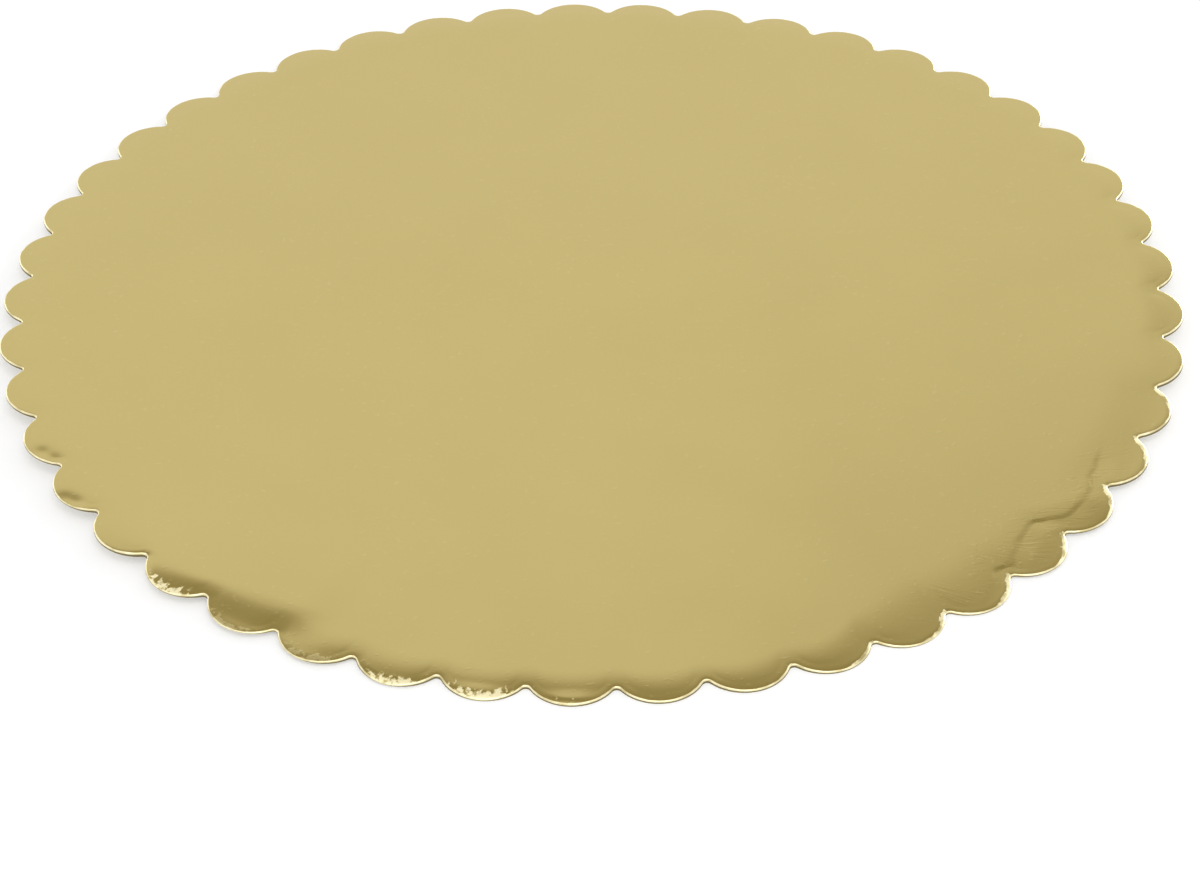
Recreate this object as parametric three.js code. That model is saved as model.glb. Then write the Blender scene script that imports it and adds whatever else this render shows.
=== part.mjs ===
// Cake board: one disc of foil-faced paperboard, die-cut with a scalloped rim.
// Millimetres, +Z up. The origin is the centre of the underside, and +X points at a lobe tip.
import * as THREE from 'three';

// Outline, seen from above
const boardDiameter = 304.8; // circle that touches every lobe tip
const lobePitch = 21.3; // from tip to tip along that circle
const lobeDepth = 5.4; // from the tips in to the valley bottoms
const valleyRadius = 1.2; // fillet at the bottom of each valley

// Section through the sheet and its rim
const boardThickness = 1.4;
const pressWidth = 8.4; // from the valley bottoms in to where the top face is level
const rimDrop = 0.5; // fall of the top face from there to the lobe tips
const arrisRadius = 0.4; // roll of the top face into the cut edge

// Curl of the whole sheet
const flatWidth = 88; // middle strip that lies flat on the table
const curlRadius = 1180; // both sides bend up from the strip on this radius

// Fineness of the faces
const lobeSteps = 8; // facets along a lobe
const valleySteps = 3; // facets along half a valley
const arrisSteps = 2; // facets down the rolled edge
const pressSteps = 2; // facets across the pressed rim, from the rolled edge in
const bodySides = 90; // facets round the level part of the faces
const bodyRings = 5; // rings from the centre to the edge of that part

const foilColour = 0xc8b679;

const tipRadius = boardDiameter / 2;
const lobeCount = Math.round((Math.PI * boardDiameter) / lobePitch);
const halfPitch = Math.PI / lobeCount; // angle from a valley to a tip
const bodyRadius = tipRadius - lobeDepth - pressWidth;

// The lobe's arc touches the tip circle and the fillets on both sides of it,
// which leaves one radius for it.
const valleyCentre = tipRadius - lobeDepth + valleyRadius;
const valleyX = valleyCentre * Math.cos(halfPitch);
const valleyY = valleyCentre * Math.sin(halfPitch);
const lobeRadius =
  ((tipRadius - valleyX) ** 2 + valleyY ** 2 - valleyRadius ** 2) /
  (2 * (tipRadius - valleyX + valleyRadius));
const lobeCentre = tipRadius - lobeRadius;
const lobeSweep = Math.atan2(valleyY, valleyX - lobeCentre); // half of the lobe's arc
const valleySweep = lobeSweep - halfPitch; // half of the valley's arc

// Points along an arc whose centre lies at a distance and an angle from the board's centre.
// The arc's own angles are counted from the line between the two centres, and its last point
// is left to the next arc.
function arcPoints(distance, angle, radius, from, to, steps) {
  const x = distance * Math.cos(angle);
  const y = distance * Math.sin(angle);
  const arc = new THREE.EllipseCurve(x, y, radius, radius, angle + from, angle + to, to < from);
  return arc.getPoints(steps).slice(0, -1);
}

// The scalloped outline moved in by an inset: the lobes' arcs shrink and the fillets grow.
// It starts at a valley bottom and runs counter-clockwise.
function scallopedRing(inset) {
  const lobe = lobeRadius - inset;
  const valley = valleyRadius + inset;
  const points = [];
  for (let k = 0; k < lobeCount; k += 1) {
    const tip = 2 * halfPitch * k;
    points.push(
      ...arcPoints(valleyCentre, tip - halfPitch, valley, Math.PI, Math.PI - valleySweep, valleySteps),
      ...arcPoints(lobeCentre, tip, lobe, -lobeSweep, lobeSweep, lobeSteps),
      ...arcPoints(valleyCentre, tip + halfPitch, valley, Math.PI + valleySweep, Math.PI, valleySteps),
    );
  }
  return points;
}

// A plain circle that starts at the same angle as the outline
function roundRing(radius) {
  return Array.from({ length: bodySides }, (_, k) => {
    const angle = (2 * Math.PI * k) / bodySides - halfPitch;
    return new THREE.Vector2(radius * Math.cos(angle), radius * Math.sin(angle));
  });
}

// Height of the top face: level inside, then falling ever faster to the lobe tips
function topHeight(point) {
  const across = Math.max(0, point.length() - bodyRadius) / (tipRadius - bodyRadius);
  return boardThickness - rimDrop * across ** 2;
}

// Bends the flat sheet up on both sides of the strip, about lines parallel to Y.
// The underside keeps its length, and what lies above it runs on a tighter radius.
function curled(point, height) {
  const beyond = Math.abs(point.x) - flatWidth / 2;
  if (beyond <= 0) {
    return new THREE.Vector3(point.x, point.y, height);
  }
  const angle = beyond / curlRadius;
  const reach = curlRadius - height;
  const x = flatWidth / 2 + reach * Math.sin(angle);
  return new THREE.Vector3(Math.sign(point.x) * x, point.y, curlRadius - reach * Math.cos(angle));
}

// The skin as closed rings in order: out along the underside, up the cut edge,
// over the arris and in along the top face. Each ring is a list of curled points.
function skinRings() {
  const under = (points) => points.map((point) => curled(point, 0));
  const top = (points, below = 0) => points.map((point) => curled(point, topHeight(point) - below));
  const centre = [new THREE.Vector2()];
  const body = Array.from({ length: bodyRings }, (_, k) => roundRing((bodyRadius * (k + 1)) / bodyRings));
  const arris = Array.from({ length: arrisSteps + 1 }, (_, k) => {
    const angle = (Math.PI / 2) * (k / arrisSteps);
    const inset = arrisRadius * (1 - Math.cos(angle));
    return top(scallopedRing(inset), arrisRadius * (1 - Math.sin(angle)));
  });
  const pressed = Array.from({ length: pressSteps - 1 }, (_, k) =>
    top(scallopedRing(arrisRadius + (pressWidth * (k + 1)) / pressSteps)),
  );
  return [
    under(centre),
    ...body.map(under),
    under(scallopedRing(0)),
    ...arris,
    ...pressed,
    ...body.reverse().map((points) => top(points)),
    top(centre),
  ];
}

// Triangles between two neighbouring rings of vertex numbers. Both start at the same angle,
// and the ring that lags behind takes the next step, so their counts may differ.
function joinRings(first, second) {
  const triangles = [];
  const firstSteps = first.length > 1 ? first.length : 0;
  const secondSteps = second.length > 1 ? second.length : 0;
  let i = 0;
  let j = 0;
  while (i < firstSteps || j < secondSteps) {
    const a = first[i % first.length];
    const b = second[j % second.length];
    const stepFirst = j === secondSteps || (i < firstSteps && (i + 1) * secondSteps <= (j + 1) * firstSteps);
    if (stepFirst) {
      i += 1;
      triangles.push(a, first[i % first.length], b);
    } else {
      j += 1;
      triangles.push(a, second[j % second.length], b);
    }
  }
  return triangles;
}

function boardGeometry() {
  const points = [];
  const rings = skinRings().map((ring) => ring.map((point) => points.push(point) - 1));
  const triangles = [];
  for (let k = 1; k < rings.length; k += 1) {
    triangles.push(...joinRings(rings[k - 1], rings[k]));
  }
  const geometry = new THREE.BufferGeometry().setFromPoints(points);
  geometry.setIndex(triangles);
  geometry.computeVertexNormals();
  return geometry;
}

const board = new THREE.Mesh(
  boardGeometry(),
  new THREE.MeshStandardMaterial({ color: foilColour, roughness: 0.3, metalness: 0.9 }),
);
board.name = 'cake_board';

const group = new THREE.Group();
group.add(board);

export default group;
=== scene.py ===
import math

import bpy
import numpy as np
from mathutils import Matrix, Quaternion, Vector


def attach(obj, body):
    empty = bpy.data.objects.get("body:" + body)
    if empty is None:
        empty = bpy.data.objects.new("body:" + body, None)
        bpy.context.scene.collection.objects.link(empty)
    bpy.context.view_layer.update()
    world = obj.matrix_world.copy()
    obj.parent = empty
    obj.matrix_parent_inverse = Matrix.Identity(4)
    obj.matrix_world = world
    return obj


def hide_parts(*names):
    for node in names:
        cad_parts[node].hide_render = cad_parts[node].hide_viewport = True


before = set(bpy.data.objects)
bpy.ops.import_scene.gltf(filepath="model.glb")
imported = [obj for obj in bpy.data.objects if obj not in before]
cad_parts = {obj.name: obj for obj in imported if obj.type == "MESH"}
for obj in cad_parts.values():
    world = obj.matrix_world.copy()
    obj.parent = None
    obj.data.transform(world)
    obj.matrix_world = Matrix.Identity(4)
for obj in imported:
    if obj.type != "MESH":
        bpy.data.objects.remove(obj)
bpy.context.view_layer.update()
scene = bpy.context.scene
scene.view_settings.view_transform = "Standard"


# Viewpoint
# Someone looks down at the board on a table from nine tenths of a metre away, through a long
# lens. The board lies with its curl a few degrees off square to that view.
board_top = 0.0014
view_from = Vector((-0.1495, -0.7164, 0.5297 + board_top))
view_to = Vector((-0.0098, -0.0549, board_top))
view_roll = math.radians(0.566)
sensor_width = 36.0
focal_length = 104.24

ahead = (view_to - view_from).normalized()
level = ahead.cross(Vector((0, 0, 1))).normalized()
right = Quaternion(ahead, view_roll) @ level
camera_data = bpy.data.cameras.new("viewpoint")
camera_data.sensor_width = sensor_width
camera_data.lens = focal_length
camera = bpy.data.objects.new("viewpoint", camera_data)
facing = Matrix((right, right.cross(ahead), -ahead)).transposed().to_4x4()
camera.matrix_world = Matrix.Translation(view_from) @ facing
scene.collection.objects.link(camera)
scene.camera = camera


# Studio backdrop
# A white sweep stands all round the table. On the far side it ends at about 45 degrees up, and a
# dim tan ceiling opens above it, which the turned-down front rim of the foil picks up. A bright
# diffuser hangs overhead and behind the viewer.
class Socket:
    """A shader output that takes part in arithmetic: each operator adds one Math node."""

    def __init__(self, shader, output):
        self.shader = shader
        self.output = output

    def math(self, operation, *values):
        """A Math node on these values, each a Socket or a number."""
        return self.shader.add("ShaderNodeMath", {"operation": operation}, dict(enumerate(values)))

    def __add__(self, other):
        return self.math("ADD", self, other)

    def __radd__(self, other):
        return self.math("ADD", other, self)

    def __sub__(self, other):
        return self.math("SUBTRACT", self, other)

    def __rsub__(self, other):
        return self.math("SUBTRACT", other, self)

    def __mul__(self, other):
        return self.math("MULTIPLY", self, other)

    def __rmul__(self, other):
        return self.math("MULTIPLY", other, self)


class Shader:
    """Adds nodes to one tree and hands back their outputs as Sockets."""

    def __init__(self, owner):
        owner.use_nodes = True
        self.tree = owner.node_tree
        self.tree.nodes.clear()

    def add(self, kind, settings=None, sockets=None, output=0):
        """One node: its type, its settings, its sockets' values or links, and the output wanted."""
        node = self.tree.nodes.new(kind)
        for name, value in (settings or {}).items():
            setattr(node, name, value)
        for name, value in (sockets or {}).items():
            if isinstance(value, Socket):
                self.tree.links.new(value.output, node.inputs[name])
            else:
                node.inputs[name].default_value = value
        return Socket(self, node.outputs[output])

    def end(self, kind, surface):
        """The tree's output node, fed by surface."""
        node = self.tree.nodes.new(kind)
        self.tree.links.new(surface.output, node.inputs["Surface"])

    def smooth(self, value, low, high):
        """0 below low, 1 above high, and an eased step between them."""
        settings = {"interpolation_type": "SMOOTHSTEP"}
        return self.add("ShaderNodeMapRange", settings, {"Value": value, "From Min": low, "From Max": high})

    def mix(self, factor, first, second):
        """A colour between first and second."""
        settings = {"data_type": "RGBA"}
        return self.add("ShaderNodeMix", settings, {0: factor, 6: first, 7: second}, 2)

    def dot(self, vector, direction):
        """How far vector points along direction."""
        settings = {"operation": "DOT_PRODUCT"}
        return self.add("ShaderNodeVectorMath", settings, {0: vector, 1: direction}, "Value")


def seen_directly(shader):
    """1 for rays from the eye, a mirror or through glass, and 0 for those that only light a surface."""
    path = [shader.add("ShaderNodeLightPath", output=name)
            for name in ("Is Camera Ray", "Is Glossy Ray", "Is Transmission Ray")]
    return path[0].math("MAXIMUM", path[0], path[1].math("MAXIMUM", path[1], path[2]))


# A height here is the sine of the elevation, and a pair is where an edge begins and ends.
sweep_top = (0.700, 0.775)
ceiling_top = (0.87, 0.95)
diffuser_edge = (0.74, 0.86)
far_side_edge = (0.0, 0.35)
# On the far right the ceiling's shade comes lower, as a shoulder.
shoulder_side = (0.03, 0.12)
shoulder_height = (0.56, 0.69)
shoulder_shade = 0.70
white = (1, 1, 1, 1)
ceiling_colour = (0.40, 0.36, 0.24, 1)
diffuser_level = 1.25
fill_level = 0.86

studio = bpy.data.worlds.new("studio")
scene.world = studio
sky = Shader(studio)
direction = sky.add("ShaderNodeTexCoord", output="Generated")
height = sky.dot(direction, (0.0, 0.0, 1.0))
far_side = sky.smooth(sky.dot(direction, (ahead.x, ahead.y, 0.0)), *far_side_edge)
edges = [near + far_side * (far - near) for near, far in zip(diffuser_edge, ceiling_top)]
overhead = sky.smooth(height, *edges)
above_sweep = sky.smooth(height, *sweep_top) * far_side * (1 - overhead)
shoulder = sky.smooth(sky.dot(direction, tuple(right)), *shoulder_side)
dimmed = shoulder * sky.smooth(height, *shoulder_height) * shoulder_shade * far_side
backdrop = 1 + overhead * (diffuser_level - 1)
shown = seen_directly(sky)
dimness = above_sweep.math("MAXIMUM", above_sweep, dimmed)
tint = sky.mix(dimness * shown, white, ceiling_colour)
strength = fill_level + shown * (backdrop - fill_level)
glow = sky.add("ShaderNodeBackground", sockets={"Color": tint, "Strength": strength})
sky.end("ShaderNodeOutputWorld", glow)


# Lamps
# Three softboxes: a large one high over the viewer's shoulder, a strong one low on the far right,
# which lights the right-hand rim, and a weaker one low on the far left.
def softbox(name, bearing, elevation, distance, size, radiance):
    """A square lamp that faces the board. Its bearing is clockwise from straight ahead, in degrees."""
    forward = Vector((ahead.x, ahead.y, 0)).normalized()
    across = forward.cross(Vector((0, 0, 1)))
    side, rise = math.radians(bearing), math.radians(elevation)
    outward = (forward * math.cos(side) + across * math.sin(side)) * math.cos(rise)
    outward.z = math.sin(rise)
    data = bpy.data.lights.new(name, "AREA")
    data.shape = "SQUARE"
    data.size = size
    data.energy = radiance * math.pi * size * size
    lamp = bpy.data.objects.new(name, data)
    lamp.location = outward * distance
    lamp.rotation_euler = outward.to_track_quat("Z", "Y").to_euler()
    scene.collection.objects.link(lamp)


softbox("key_softbox", bearing=172, elevation=58, distance=1.6, size=0.7, radiance=3.2)
softbox("right_softbox", bearing=42, elevation=11, distance=1.7, size=0.8, radiance=8.0)
softbox("left_softbox", bearing=-52, elevation=13, distance=1.8, size=0.6, radiance=2.6)


# Table
# A plain white table top, wide enough to fill every view. It keeps the board's soft shadow.
table_half_width = 6.0
table_cells = 24
table_white = (0.93, 0.93, 0.93, 1)
table_white_cloud = (0.96, 0.96, 0.96, 1)
cloud_scale = 3.0
table_glow = 1.06
table_glow_share = 0.36


def table_top(half_width, cells):
    """A flat square grid at height nought."""
    side = np.linspace(-half_width, half_width, cells + 1)
    x, y = np.meshgrid(side, side)
    points = np.stack([x, y, np.zeros_like(x)], -1).reshape(-1, 3)
    corner = (np.arange(cells)[:, None] * (cells + 1) + np.arange(cells)).ravel()
    faces = np.stack([corner, corner + 1, corner + cells + 2, corner + cells + 1], -1)
    mesh = bpy.data.meshes.new("table_top")
    mesh.from_pydata(points.tolist(), [], faces.tolist())
    return mesh


def soft_noise(shader, scale, detail):
    """Noise over the piece's own coordinates, with scale cells to the metre."""
    place = shader.add("ShaderNodeTexCoord", output="Object")
    return shader.add("ShaderNodeTexNoise", sockets={"Vector": place, "Scale": scale, "Detail": detail})


def table_finish():
    """White laminate. A share of it glows for the eye alone, so that the ground stays white, and the rest
    takes the board's shadow."""
    material = bpy.data.materials.new("white_table")
    shader = Shader(material)
    cloud = soft_noise(shader, cloud_scale, 2.0)
    paint = shader.mix(cloud, table_white, table_white_cloud)
    matt = shader.add("ShaderNodeBsdfDiffuse", sockets={"Color": paint, "Roughness": 0.5})
    glow = shader.add("ShaderNodeEmission", sockets={"Color": white, "Strength": table_glow})
    share = seen_directly(shader) * table_glow_share
    surface = shader.add("ShaderNodeMixShader", sockets={0: share, 1: matt, 2: glow})
    shader.end("ShaderNodeOutputMaterial", surface)
    return material


table = bpy.data.objects.new("table_top", table_top(table_half_width, table_cells))
table.data.materials.append(table_finish())
scene.collection.objects.link(table)


# Cake board
# One die-cut disc of grey paperboard. Gold foil is glued over its upper face and rolled over the
# rim by the cutting die, and a pale liner paper closes its underside. It lies loose on the table.
lobes = 45
tip_radius = 0.1524
lobe_depth = 0.0054
valley_radius = 0.0012
arris_width = 0.00033
arris_height = 0.00024
burr_radius = 0.00016
thinnest = 0.00048
flat_half = 0.044
curl_radius = 1.18

# The surface's grid: where its rows leave the scallops and where they become circles, its points
# along an outline's lobe and valley, and its rows across each part
lip_width = 0.0021
band_width = 0.0090
lobe_steps = 18
valley_steps = 3
disc_rows = 6
under_rows = 3
burr_rows = 4
face_rows = 3
arris_rows = 8
lip_rows = 6
band_rows = 23
ring_rows = 31
ring_gathering = 1.5

half_pitch = math.pi / lobes
body_radius = tip_radius - lobe_depth - band_width
valley_centre = tip_radius - lobe_depth + valley_radius
valley_x = valley_centre * math.cos(half_pitch)
valley_y = valley_centre * math.sin(half_pitch)
lobe_radius = (((tip_radius - valley_x) ** 2 + valley_y ** 2 - valley_radius ** 2)
               / (2 * (tip_radius - valley_x + valley_radius)))
lobe_centre = tip_radius - lobe_radius
lobe_sweep = math.atan2(valley_y, valley_x - lobe_centre)
valley_sweep = lobe_sweep - half_pitch


def scallops(inset):
    """The outline moved in by inset, one row for each inset. A lobe is an arc of the lobe radius less the
    inset about the lobe's centre, a valley is an arc of the valley radius plus the inset about its own
    centre, and the two meet where the line between their centres crosses them."""
    steps = [valley_steps, lobe_steps, valley_steps]
    lobe = np.linspace(-lobe_sweep, lobe_sweep, lobe_steps, endpoint=False)
    half_valley = np.linspace(0, valley_sweep, valley_steps, endpoint=False)
    into = math.pi - half_pitch - half_valley
    out_of = math.pi + half_pitch + valley_sweep - half_valley
    aim = np.concatenate([into, lobe, out_of])
    in_lobe = np.repeat([0.0, 1.0, 0.0], steps)
    side = np.repeat([-half_pitch, 0.0, half_pitch], steps)
    reach = np.where(in_lobe, lobe_centre, valley_centre)
    turn = 2 * half_pitch * np.arange(lobes)[:, None]
    inset = inset[:, None, None]
    radius = np.where(in_lobe, lobe_radius - inset, valley_radius + inset)
    x = reach * np.cos(turn + side) + radius * np.cos(turn + aim)
    y = reach * np.sin(turn + side) + radius * np.sin(turn + aim)
    return x.reshape(len(x), -1), y.reshape(len(y), -1)


def eased(value, low, high):
    """0 below low, 1 above high, and an eased step between them."""
    t = np.clip((value - low) / (high - low), 0, 1)
    return t * t * (3 - 2 * t)


def arc(angle, low, rise, fall, high):
    """1 between rise and fall degrees round the board, easing to 0 at low and at high."""
    degrees = np.degrees(angle)
    return eased(degrees, low, rise) * (1 - eased(degrees, fall, high))


def bell(value, centre, width):
    """1 at the centre, falling off on both sides as a Gaussian of that width."""
    return np.exp(-((value - centre) / width) ** 2)


def ripple(angle, waves, seed):
    """A sum of sines round the board with random phases: waves lists pairs of a count and a height."""
    phases = np.random.default_rng(seed).uniform(0, 2 * math.pi, len(waves))
    return sum(size * np.sin(count * angle + phase) for (count, size), phase in zip(waves, phases))


# How the rim is pressed down: metres from the board's centre, and parts of the rim in degrees
press_start = 0.1419
press_width = 0.0070
press_slope = 0.081
press_wander = ((7, 0.0004), (13, 0.0005))
valley_advance = 0.0015
broad_part = (-81, -69, -54, -46)
broad_advance = 0.0088
broad_widening = 0.0085
broad_flattening = 0.017
spared_part = (-49, -42, -26, -14)
spared_share = 0.9
roll_depth = 0.00004
roll_width = 0.0014
levelled_from = 0.1472
levelled_tips = ((-112.2, 2.4, 0.1500, 0.00010), (-104.0, 2.6, 0.1516, 0.00018))


def pressed_rim(radius, angle, inset, valley):
    """How far the top face has fallen at the rim. Its slope grows evenly from nought where the press starts
    to its full value one press width further out, and stays so. The start wanders round the board and lies
    further in at the valleys; valley is 1 there and 0 at the tips. The press is broader and gentler at the
    front right, and on the right the rim was mostly spared. A last roll follows along the arris, as the
    square of the way into it. Two tips level out again, each given by its degrees, its spread, the radius
    at which it is level and the height that it keeps."""
    broad = arc(angle, *broad_part)
    slope = (press_slope - broad_flattening * broad) * (1 - spared_share * arc(angle, *spared_part))
    advance = broad_advance * broad + valley_advance * valley
    start = press_start + ripple(angle, press_wander, seed=11) - advance
    width = press_width + broad_widening * broad
    into = np.clip((radius - start) / width, 0, None)
    fall = slope * width * np.where(into < 1, into ** 2 / 2, into - 0.5)
    roll = roll_depth * np.clip(1 - inset / roll_width, 0, 1) ** 2
    kept = sum(size * bell(np.degrees(angle), at, spread) * eased(radius, levelled_from, end)
               for at, spread, end, size in levelled_tips)
    return fall + roll - kept


# Slow swell of the sheet, which fades out at the centre
swell_waves = 9
swell_length = 0.075
swell_stretch = (0.7, 1.5)
swell_height = 0.000012
swell_fade = 0.03


def swell(x, y, seed):
    """A sum of plane waves over the sheet in random directions, each with its own length and phase."""
    rng = np.random.default_rng(seed)
    headings = rng.uniform(0, math.pi, swell_waves)
    phases = rng.uniform(0, 2 * math.pi, swell_waves)
    lengths = swell_length * rng.uniform(*swell_stretch, swell_waves)
    total = np.zeros_like(x)
    for heading, phase, length in zip(headings, phases, lengths):
        along = x * math.cos(heading) + y * math.sin(heading)
        total += np.sin(2 * math.pi * along / length + phase)
    return total * swell_height / math.sqrt(swell_waves) * eased(np.hypot(x, y), 0, swell_fade)


# Two thumb dents by the left rim
dent_places = ((-0.1453, -0.0350), (-0.1427, -0.0381), (-0.1417, -0.0534), (-0.1393, -0.0556))
dent_depth = 0.00020
dent_radius = 0.0022


def left_dents(x, y):
    """Depth of the dents. Each is a pair of round Gaussian hollows."""
    return dent_depth * sum(bell(np.hypot(x - at_x, y - at_y), 0, dent_radius) for at_x, at_y in dent_places)


# A soft fold by the front left rim: metres out from the centre on its bearing, and along it
fold_bearing = math.radians(-123.4)
fold_swelling = 0.00025
fold_swelling_reach = (0.100, 0.135)
fold_step = 0.00056
fold_step_reach = (0.1350, 0.1465)
fold_return = 0.000289
fold_return_reach = (0.1445, 0.1510)
fold_return_end = (-0.052, -0.040)
fold_left_end = (-0.085, -0.048)
fold_right_end = (-0.021, -0.008)


def front_left_fold(x, y):
    """Depth of the fold. Going out on its bearing the foil swells up slowly, steps down and, at the left,
    comes part of the way back up. Every part is an eased step."""
    out = x * math.cos(fold_bearing) + y * math.sin(fold_bearing)
    along = y * math.cos(fold_bearing) - x * math.sin(fold_bearing)
    swelling = fold_swelling * eased(out, *fold_swelling_reach)
    step = fold_step * eased(out, *fold_step_reach)
    rise = fold_return * eased(out, *fold_return_reach) * (1 - eased(along, *fold_return_end))
    return (step - rise - swelling) * eased(along, *fold_left_end) * (1 - eased(along, *fold_right_end))


# A thin crooked score across the front right rim: degrees and metres from the centre
score_line = ((-66, 0.1500), (-64.5, 0.1500), (-61, 0.1440), (-59, 0.1436), (-56.5, 0.1417),
              (-54.5, 0.1388), (-52.5, 0.1392), (-50.5, 0.1430), (-48.3, 0.1450), (-45, 0.1435),
              (-42, 0.1409), (-38, 0.1397), (-34, 0.1390))
score_jitter = ((83, 0.0004), (149, 0.00025))
score_unevenness = ((37, 0.3), (97, 0.3))
score_part = (-66, -60, -46, -37)
score_depth = 0.00008
score_half_width = 0.0005
score_return = 0.0060
groove_share = 0.3
groove_width = 0.0006
sag_part = (-49, -41, -30, -23)
sag_depth = 0.00019
sag_reach = (0.1335, 0.1495)


def front_right_score(radius, angle):
    """Depth of the score. The foil steps down across its line and comes back up further out, with a
    Gaussian groove on the line. Outside the line's right end the foil sags in an eased step."""
    degrees, metres = zip(*score_line)
    line = np.interp(np.degrees(angle), degrees, metres) + ripple(angle, score_jitter, seed=5)
    out = radius - line
    step = eased(out, -score_half_width, score_half_width) * (1 - eased(out, score_half_width, score_return))
    groove = groove_share * bell(out, 0, groove_width)
    depth = score_depth * arc(angle, *score_part) * (1 + ripple(angle, score_unevenness, seed=6))
    return depth * (step + groove) + sag_depth * arc(angle, *sag_part) * eased(radius, *sag_reach)


# Bruised lobes: degrees round the board and a share of the depth, then depth, degrees and width
bruised_tips = ((-146.0, 0.9), (-137.0, 0.3), (-129.0, 0.4), (-120.5, 1.0), (-112.0, 0.8), (-104.5, 0.4))
tip_bruise = (0.00036, 1.9, 0.0020)
bruised_flanks = ((-78.0, 0.4), (-70.0, 0.8), (-62.0, 1.0), (-54.0, 1.0), (-46.0, 0.9), (-38.0, 0.7),
                  (-30.0, 0.4))
flank_bruise = (0.00022, 1.5, 0.0014)
bruise_growth = 1.3


def bruises(angle, inset, places, depth, spread, width):
    """Depth of a row of bruises along the arris. Each is a bell along the rim, and grows a little faster
    than the way from its inner edge out."""
    along = sum(share * bell(np.degrees(angle), at, spread) for at, share in places)
    return depth * along * np.clip(1 - inset / width, 0, 1) ** bruise_growth


liner_slot = 0
edge_slot = 1
foil_slot = 2
millimetres = 1000


def board_surface():
    """The closed skin as a grid of rows, from the centre of the underside out, up the cut edge and over the
    arris, and in along the foil. A row runs once round the board. Plan: circles out to the level part's
    edge, then a straight blend to the scallops. Height: nought below, and above the board's thickness plus
    a slight swell, less the press, the fold, the dents, the score and the bruises, but never under the least
    thickness. Returns x, y, height, the material's slot and the millimetres from the arris's foot, negative
    down the edge and along the underside."""
    corner = np.linspace(0, math.pi / 2, burr_rows)
    burr_inset = burr_radius * (1 - np.sin(corner))
    burr_height = burr_radius * (1 - np.cos(corner))
    roll = np.linspace(0, math.pi / 2, arris_rows)
    roll_inset = arris_width * (1 - np.cos(roll))
    roll_below = arris_height * (1 - np.sin(roll))
    lip_inset = np.linspace(arris_width, lip_width, lip_rows + 1)[1:]
    face = np.linspace(0, 1, face_rows + 2)[1:-1]

    discs = np.linspace(0, 1, disc_rows + 1)[1:]
    under_blend = np.linspace(0, 1, under_rows + 2)[1:-1]
    band = np.linspace(0, 1, band_rows + 2)[1:-1]
    rings = (1 - np.linspace(0, 1, ring_rows + 1) ** ring_gathering)[:-1]

    rim_insets = np.concatenate([burr_inset, np.zeros(face_rows), roll_inset, lip_inset])
    rim_x, rim_y = scallops(rim_insets)
    outline_x, outline_y = rim_x[burr_rows], rim_y[burr_rows]
    outline_radius = np.hypot(outline_x, outline_y)
    turn = np.arctan2(outline_y, outline_x)
    ring_x, ring_y = body_radius * np.cos(turn), body_radius * np.sin(turn)

    def blended(weight, x, y):
        """Rows between the level part's edge and a row of scallops, by weight."""
        weight = weight[:, None]
        return ring_x + (x - ring_x) * weight, ring_y + (y - ring_y) * weight

    under = blended(under_blend, rim_x[0], rim_y[0])
    top = blended(1 - band, rim_x[-1], rim_y[-1])
    x = np.concatenate([discs[:, None] * ring_x, under[0], rim_x, top[0], rings[:, None] * ring_x])
    y = np.concatenate([discs[:, None] * ring_y, under[1], rim_y, top[1], rings[:, None] * ring_y])
    radius, angle = np.hypot(x, y), np.arctan2(y, x)

    first_rim = disc_rows + under_rows
    first_face = first_rim + burr_rows
    first_roll = first_face + face_rows
    first_lip = first_roll + arris_rows
    first_band = first_lip + lip_rows
    inset = outline_radius - radius
    inset[first_rim:first_band] = rim_insets[:, None]

    valley = (tip_radius - outline_radius) / lobe_depth
    lid = board_top + swell(x, y, seed=3) - pressed_rim(radius, angle, inset, valley)
    lid -= front_left_fold(x, y) + left_dents(x, y) + front_right_score(radius, angle)
    lid -= bruises(angle, inset, bruised_tips, *tip_bruise)
    lid -= bruises(angle, inset, bruised_flanks, *flank_bruise)
    lid = np.maximum(lid, thinnest)

    height = np.zeros_like(x)
    height[first_rim:first_face] = burr_height[:, None]
    head = lid[first_face] - arris_height
    height[first_face:first_roll] = burr_radius + face[:, None] * (head - burr_radius)
    height[first_roll:] = lid[first_roll:]
    height[first_roll:first_lip] -= roll_below[:, None]

    slot = np.full(len(x), liner_slot)
    slot[first_face:] = edge_slot
    slot[first_roll:] = foil_slot
    way = millimetres * inset
    way[:first_roll] = millimetres * (height[:first_roll] - head)
    way[:first_rim] -= millimetres * inset[:first_rim]
    return x, y, height, slot, way


def curl(x, y, height):
    """The sheet bent up on both sides of its flat strip: beyond the strip, the way along the underside
    becomes an angle on the curl radius, and what lies above it runs on a radius less its height."""
    beyond = np.clip(np.abs(x) - flat_half, 0, None)
    bend = beyond / curl_radius
    reach = curl_radius - height
    bent_x = np.sign(x) * (flat_half + reach * np.sin(bend))
    bent_height = curl_radius - reach * np.cos(bend)
    return np.where(beyond > 0, bent_x, x), y, np.where(beyond > 0, bent_height, height)


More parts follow.
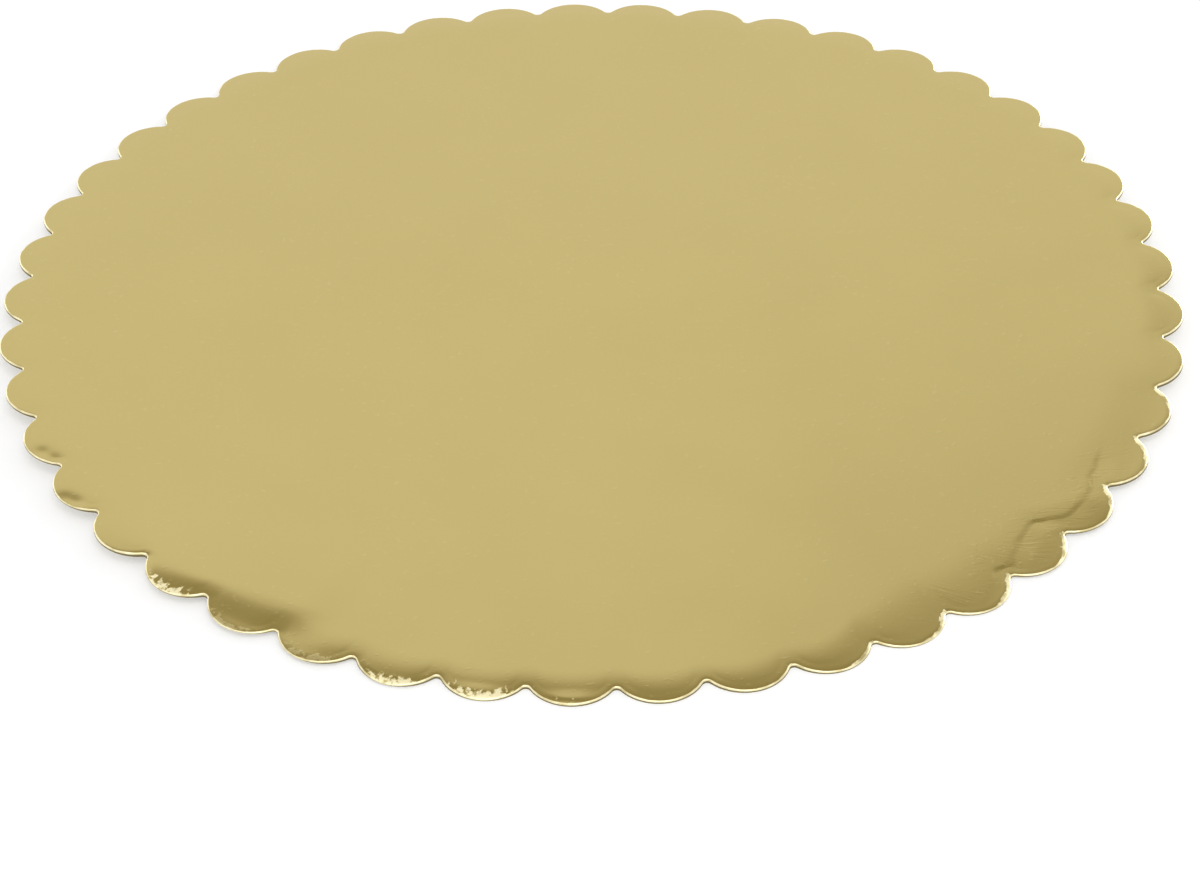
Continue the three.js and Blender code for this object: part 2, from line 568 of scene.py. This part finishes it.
def board_mesh():
    """Turns the grid into one closed mesh: quads between rows, and a fan round a single point at each pole.
    Its texture map counts lobes round the board one way and the millimetres from the arris the other."""
    x, y, height, slot, way = board_surface()
    rows, around = x.shape
    points = np.stack(curl(x, y, height), -1).reshape(-1, 3)
    points = np.concatenate([points, [[0, 0, 0], [0, 0, board_top]]])
    way = np.append(way.ravel(), [way.min(), way.max()])
    bottom, top = rows * around, rows * around + 1
    here = np.arange(around)
    after = (here + 1) % around
    low = np.arange(rows - 1)[:, None] * around
    last = (rows - 1) * around
    quads = np.stack([low + here, low + after, low + around + after, low + around + here], -1)
    fans = np.stack([np.stack([after, here, np.full(around, bottom)], -1),
                     np.stack([last + here, last + after, np.full(around, top)], -1)])
    corners = np.concatenate([quads.ravel(), fans.ravel()])
    quad_turn = np.broadcast_to(np.stack([here, here + 1, here + 1, here], -1), quads.shape)
    fan_turn = np.stack([np.stack([here + 1, here, here + 0.5], -1),
                         np.stack([here, here + 1, here + 0.5], -1)])
    turns = np.concatenate([quad_turn.ravel(), fan_turn.ravel()]) * lobes / around

    mesh = bpy.data.meshes.new("foil_cake_board")
    mesh.vertices.add(len(points))
    mesh.vertices.foreach_set("co", points.astype(np.float32).ravel())
    mesh.loops.add(len(corners))
    mesh.loops.foreach_set("vertex_index", corners.astype(np.int32))
    sizes = np.repeat([4, 3], [(rows - 1) * around, 2 * around])
    mesh.polygons.add(len(sizes))
    mesh.polygons.foreach_set("loop_start", (np.cumsum(sizes) - sizes).astype(np.int32))
    quad_slots = np.repeat(np.maximum(slot[:-1], slot[1:]), around)
    slots = np.concatenate([quad_slots, np.repeat([liner_slot, foil_slot], around)])
    mesh.polygons.foreach_set("material_index", slots.astype(np.int32))
    mesh.polygons.foreach_set("use_smooth", np.ones(len(sizes), bool))
    mesh.update(calc_edges=True)
    rim_map = mesh.uv_layers.new(name="rim")
    rim_map.data.foreach_set("uv", np.stack([turns, way[corners]], -1).astype(np.float32).ravel())
    mesh.validate()
    return mesh


def principled(shader, **sockets):
    """A Principled surface, with its sockets' names in words joined by underscores."""
    names = {name.replace("_", " "): value for name, value in sockets.items()}
    return shader.add("ShaderNodeBsdfPrincipled", sockets=names)


def bumped(shader, relief, unit):
    """The normal of a relief that is counted in units of so many metres."""
    sockets = {"Height": relief, "Distance": unit, "Strength": 1.0}
    return shader.add("ShaderNodeBump", sockets=sockets, output="Normal")


def rim_place(shader):
    """The texture map's two ways: lobes counted round the board, and millimetres in from the arris."""
    rim = shader.add("ShaderNodeUVMap", {"uv_map": "rim"})
    return [shader.add("ShaderNodeSeparateXYZ", sockets={"Vector": rim}, output=name) for name in ("X", "Y")]


def rim_noise(shader, per_lobe, per_mm, detail=2.0, shift=0.0):
    """Noise along the rim, with so many cells to a lobe and to a millimetre in from the arris."""
    turn, way = rim_place(shader)
    place = shader.add("ShaderNodeCombineXYZ", sockets={"X": turn * per_lobe + shift, "Y": way * per_mm})
    return shader.add("ShaderNodeTexNoise", sockets={"Vector": place, "Scale": 1.0, "Detail": detail})


def stretch(shader, low, rise, fall, high):
    """1 between rise and fall lobes round the board, easing to 0 at low and at high."""
    turn = rim_place(shader)[0]
    return shader.smooth(turn, low, rise) * (1 - shader.smooth(turn, fall, high))


def from_tip(shader):
    """The way round from the tip of a lobe: nought there, and half to either side at the valleys."""
    turn = rim_place(shader)[0]
    return turn.math("FRACT", turn) - 0.5


# Wear of the foil and painted highlight along its arris: parts of the rim in lobes round the board, and
# widths in millimetres
worn_highlit_edge = (0.14, 0.40)
worn_highlit_raggedness = 0.5
worn_highlit_patches = (0.38, 0.58)
worn_highlit_least = 0.35
worn_highlit_flanks = (34.5, 37.0, 41.5, 42.5)
flank_side = (-0.05, 0.20)
flank_width = 0.9
flank_raggedness = 2.2


def worn_and_highlit_arris(shader):
    """1 where the foil is painted pale along the arris, partly as rubbed foil and partly as a painted
    highlight of the arris catching the lamps: a ragged, patchy line.
    It is wider on the right-hand flanks of the lobes at the front right, where it paints the highlight of
    the right-hand lamp."""
    way = rim_place(shader)[1]
    flank = stretch(shader, *worn_highlit_flanks) * shader.smooth(from_tip(shader), *flank_side)
    raggedness = worn_highlit_raggedness + flank * flank_raggedness
    wander = (rim_noise(shader, per_lobe=9, per_mm=0.8) - 0.5) * raggedness
    line = 1 - shader.smooth(way - flank * flank_width + wander, *worn_highlit_edge)
    patches = shader.smooth(rim_noise(shader, per_lobe=5, per_mm=0.2, detail=3.0), *worn_highlit_patches)
    return line * (worn_highlit_least + patches * (1 - worn_highlit_least))


# Crinkled tips at the front left: their flecks get relief, and their colour is painted pale as a painted
# highlight of the crinkles' glints.
crinkled_lobes = (26.8, 27.6, 31.8, 32.8)
crinkled_width = (0.6, 3.4)
crinkled_side = (0.12, 0.36)
fleck_edge = (0.90, 1.06)
fleck_gain = 0.30
fleck_fade = (0.02, 0.25)
sound_lobes = (27.7, 28.1, 29.8, 30.1)
sound_share = 0.75


def crinkled_glint_flecks(shader):
    """1 on the pale flecks on the crinkled, bruised tips at the front left, a painted highlight standing in
    for the glints of the crinkles: two sizes of noise, cut at a level that falls towards the arris and the
    tip. Two of the tips are mostly sound."""
    way = rim_place(shader)[1]
    side = from_tip(shader)
    bruised = stretch(shader, *crinkled_lobes) * (1 - shader.smooth(way, *crinkled_width))
    bruised = bruised * (1 - shader.smooth(side.math("ABSOLUTE", side), *crinkled_side))
    torn = (rim_noise(shader, per_lobe=20, per_mm=0.7, detail=4.0)
            + rim_noise(shader, per_lobe=1.6, per_mm=0.1, shift=40) * 0.5)
    flecks = shader.smooth(torn + bruised * fleck_gain, *fleck_edge) * shader.smooth(bruised, *fleck_fade)
    return flecks * (1 - stretch(shader, *sound_lobes) * sound_share)


brushed_lobes = (35.8, 37.6, 40.0, 41.4)
brushed_outer = (1.0, 5.0)
brushed_inner = (9.0, 20.0)
brushed_patches = (0.36, 0.62)
streak_slant = 0.9


def brush_streaks(shader):
    """Fine slanting scratches at the front right, above and below nought: noise drawn out across the rim
    and kept to patches."""
    way = rim_place(shader)[1]
    brushed = stretch(shader, *brushed_lobes) * shader.smooth(way, *brushed_outer)
    brushed = brushed * (1 - shader.smooth(way, *brushed_inner))
    patches = shader.smooth(rim_noise(shader, per_lobe=3, per_mm=0.3, detail=3.0), *brushed_patches)
    streaks = rim_noise(shader, per_lobe=27, per_mm=0.16, detail=4.0, shift=way * streak_slant)
    return (streaks - 0.5) * brushed * patches


# The foil: colours, scales in cells to the metre, and reliefs counted in the relief's unit
foil_gold = (0.592, 0.480, 0.190, 1)
foil_deep_gold = (0.574, 0.464, 0.181, 1)
# The pale of rubbed foil and grit specks, also used as a painted highlight on the arris and on the crinkled
# tips.
foil_worn_and_highlight = (0.98, 0.90, 0.60, 1)
mottle_scale = 28.0
peel_scale = 900.0
grit_scale = 900.0
grit_edge = (0.71, 0.80)
grit_share = 0.05
rolling_turn = math.radians(10.0)
rolling_scale = (30.0, 1600.0, 30.0)
foil_relief_unit = 0.000004
peel_relief = 0.5
rolling_relief = 0.5
grit_relief = 1.5
streak_relief = 12
fleck_relief = 14
foil_roughness = 0.15
mottle_roughness = 0.06
worn_roughness = 0.3


def foil_finish():
    """Lacquered aluminium foil, satin gold: faint rolling lines, orange peel, specks and slow mottling. It
    is painted pale along the arris, partly as rubbed foil and partly as a painted highlight; it is painted
    pale in flecks on the crinkled, bruised tips as a painted highlight of their glints; and it is brushed at
    the front right."""
    material = bpy.data.materials.new("gold_foil")
    shader = Shader(material)
    mottle = soft_noise(shader, mottle_scale, 3.0)
    peel = soft_noise(shader, peel_scale, 2.0)
    specks = shader.smooth(soft_noise(shader, grit_scale, 0.0), *grit_edge)
    place = shader.add("ShaderNodeTexCoord", output="Object")
    rolled = shader.add("ShaderNodeMapping", sockets={
        "Vector": place, "Rotation": (0, 0, rolling_turn), "Scale": rolling_scale})
    lines = shader.add("ShaderNodeTexNoise", sockets={"Vector": rolled, "Scale": 1.0, "Detail": 2.0})

    worn_and_highlit = worn_and_highlit_arris(shader)
    flecks = crinkled_glint_flecks(shader)
    # pale paints the arris line and the crinkled flecks lighter: partly wear, partly painted highlight.
    pale = worn_and_highlit.math("MAXIMUM", worn_and_highlit, flecks)
    gold = shader.mix(mottle, foil_gold, foil_deep_gold)
    paint = shader.mix(pale.math("MAXIMUM", pale, specks * grit_share), gold, foil_worn_and_highlight)
    relief = peel * peel_relief + lines * rolling_relief + specks * grit_relief
    relief = relief + brush_streaks(shader) * streak_relief + flecks * fleck_relief
    roughness = foil_roughness + mottle * mottle_roughness + pale * worn_roughness
    bump = bumped(shader, relief, foil_relief_unit)
    body = principled(shader, Base_Color=paint, Metallic=1.0, Roughness=roughness, Normal=bump)
    shader.end("ShaderNodeOutputMaterial", body)
    return material


ply_pale = (0.27, 0.22, 0.10, 1)
ply_dark = (0.10, 0.075, 0.025, 1)
dragged_gold = (0.40, 0.32, 0.12, 1)
dragged_edge = (-0.05, 0.15)
drag_raggedness = 0.3
dragged_metal = 0.7
edge_roughness = 0.85
drag_polish = 0.4
edge_relief_unit = 0.00003


def cut_edge_finish():
    """Die-cut greyboard in fine plies, with foil that the die dragged down over its upper half."""
    material = bpy.data.materials.new("cut_greyboard")
    shader = Shader(material)
    way = rim_place(shader)[1]
    plies = rim_noise(shader, per_lobe=12, per_mm=9, detail=3.0)
    drags = rim_noise(shader, per_lobe=60, per_mm=0.8)
    dragged = shader.smooth(way + drags * drag_raggedness, *dragged_edge)
    paint = shader.mix(dragged, shader.mix(plies, ply_pale, ply_dark), dragged_gold)
    roughness = edge_roughness - dragged * drag_polish
    bump = bumped(shader, plies + drags, edge_relief_unit)
    metal = dragged * dragged_metal
    body = principled(shader, Base_Color=paint, Metallic=metal, Roughness=roughness, Normal=bump)
    shader.end("ShaderNodeOutputMaterial", body)
    return material


paper_pale = (0.80, 0.75, 0.58, 1)
paper_cloud = (0.70, 0.65, 0.49, 1)
pulp_speck = (0.40, 0.33, 0.20, 1)
cloudiness_scale = 220.0
pulp_scale = 700.0
pulp_edge = (0.68, 0.76)
pulp_share = 0.5
paper_roughness = 0.75
cloud_roughness = 0.2
paper_relief_unit = 0.00003


def liner_finish():
    """Uncoated pale liner paper of recycled pulp: soft fibre clouds and a few darker specks."""
    material = bpy.data.materials.new("pale_liner")
    shader = Shader(material)
    cloud = soft_noise(shader, cloudiness_scale, 5.0)
    specks = shader.smooth(soft_noise(shader, pulp_scale, 1.0), *pulp_edge)
    paper = shader.mix(cloud, paper_pale, paper_cloud)
    paint = shader.mix(specks * pulp_share, paper, pulp_speck)
    roughness = paper_roughness + cloud * cloud_roughness
    bump = bumped(shader, cloud, paper_relief_unit)
    body = principled(shader, Base_Color=paint, Roughness=roughness, Normal=bump)
    shader.end("ShaderNodeOutputMaterial", body)
    return material


board = bpy.data.objects.new("foil_cake_board", board_mesh())
for finish in (liner_finish(), cut_edge_finish(), foil_finish()):
    board.data.materials.append(finish)
scene.collection.objects.link(board)
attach(board, "root")
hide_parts("cake_board")
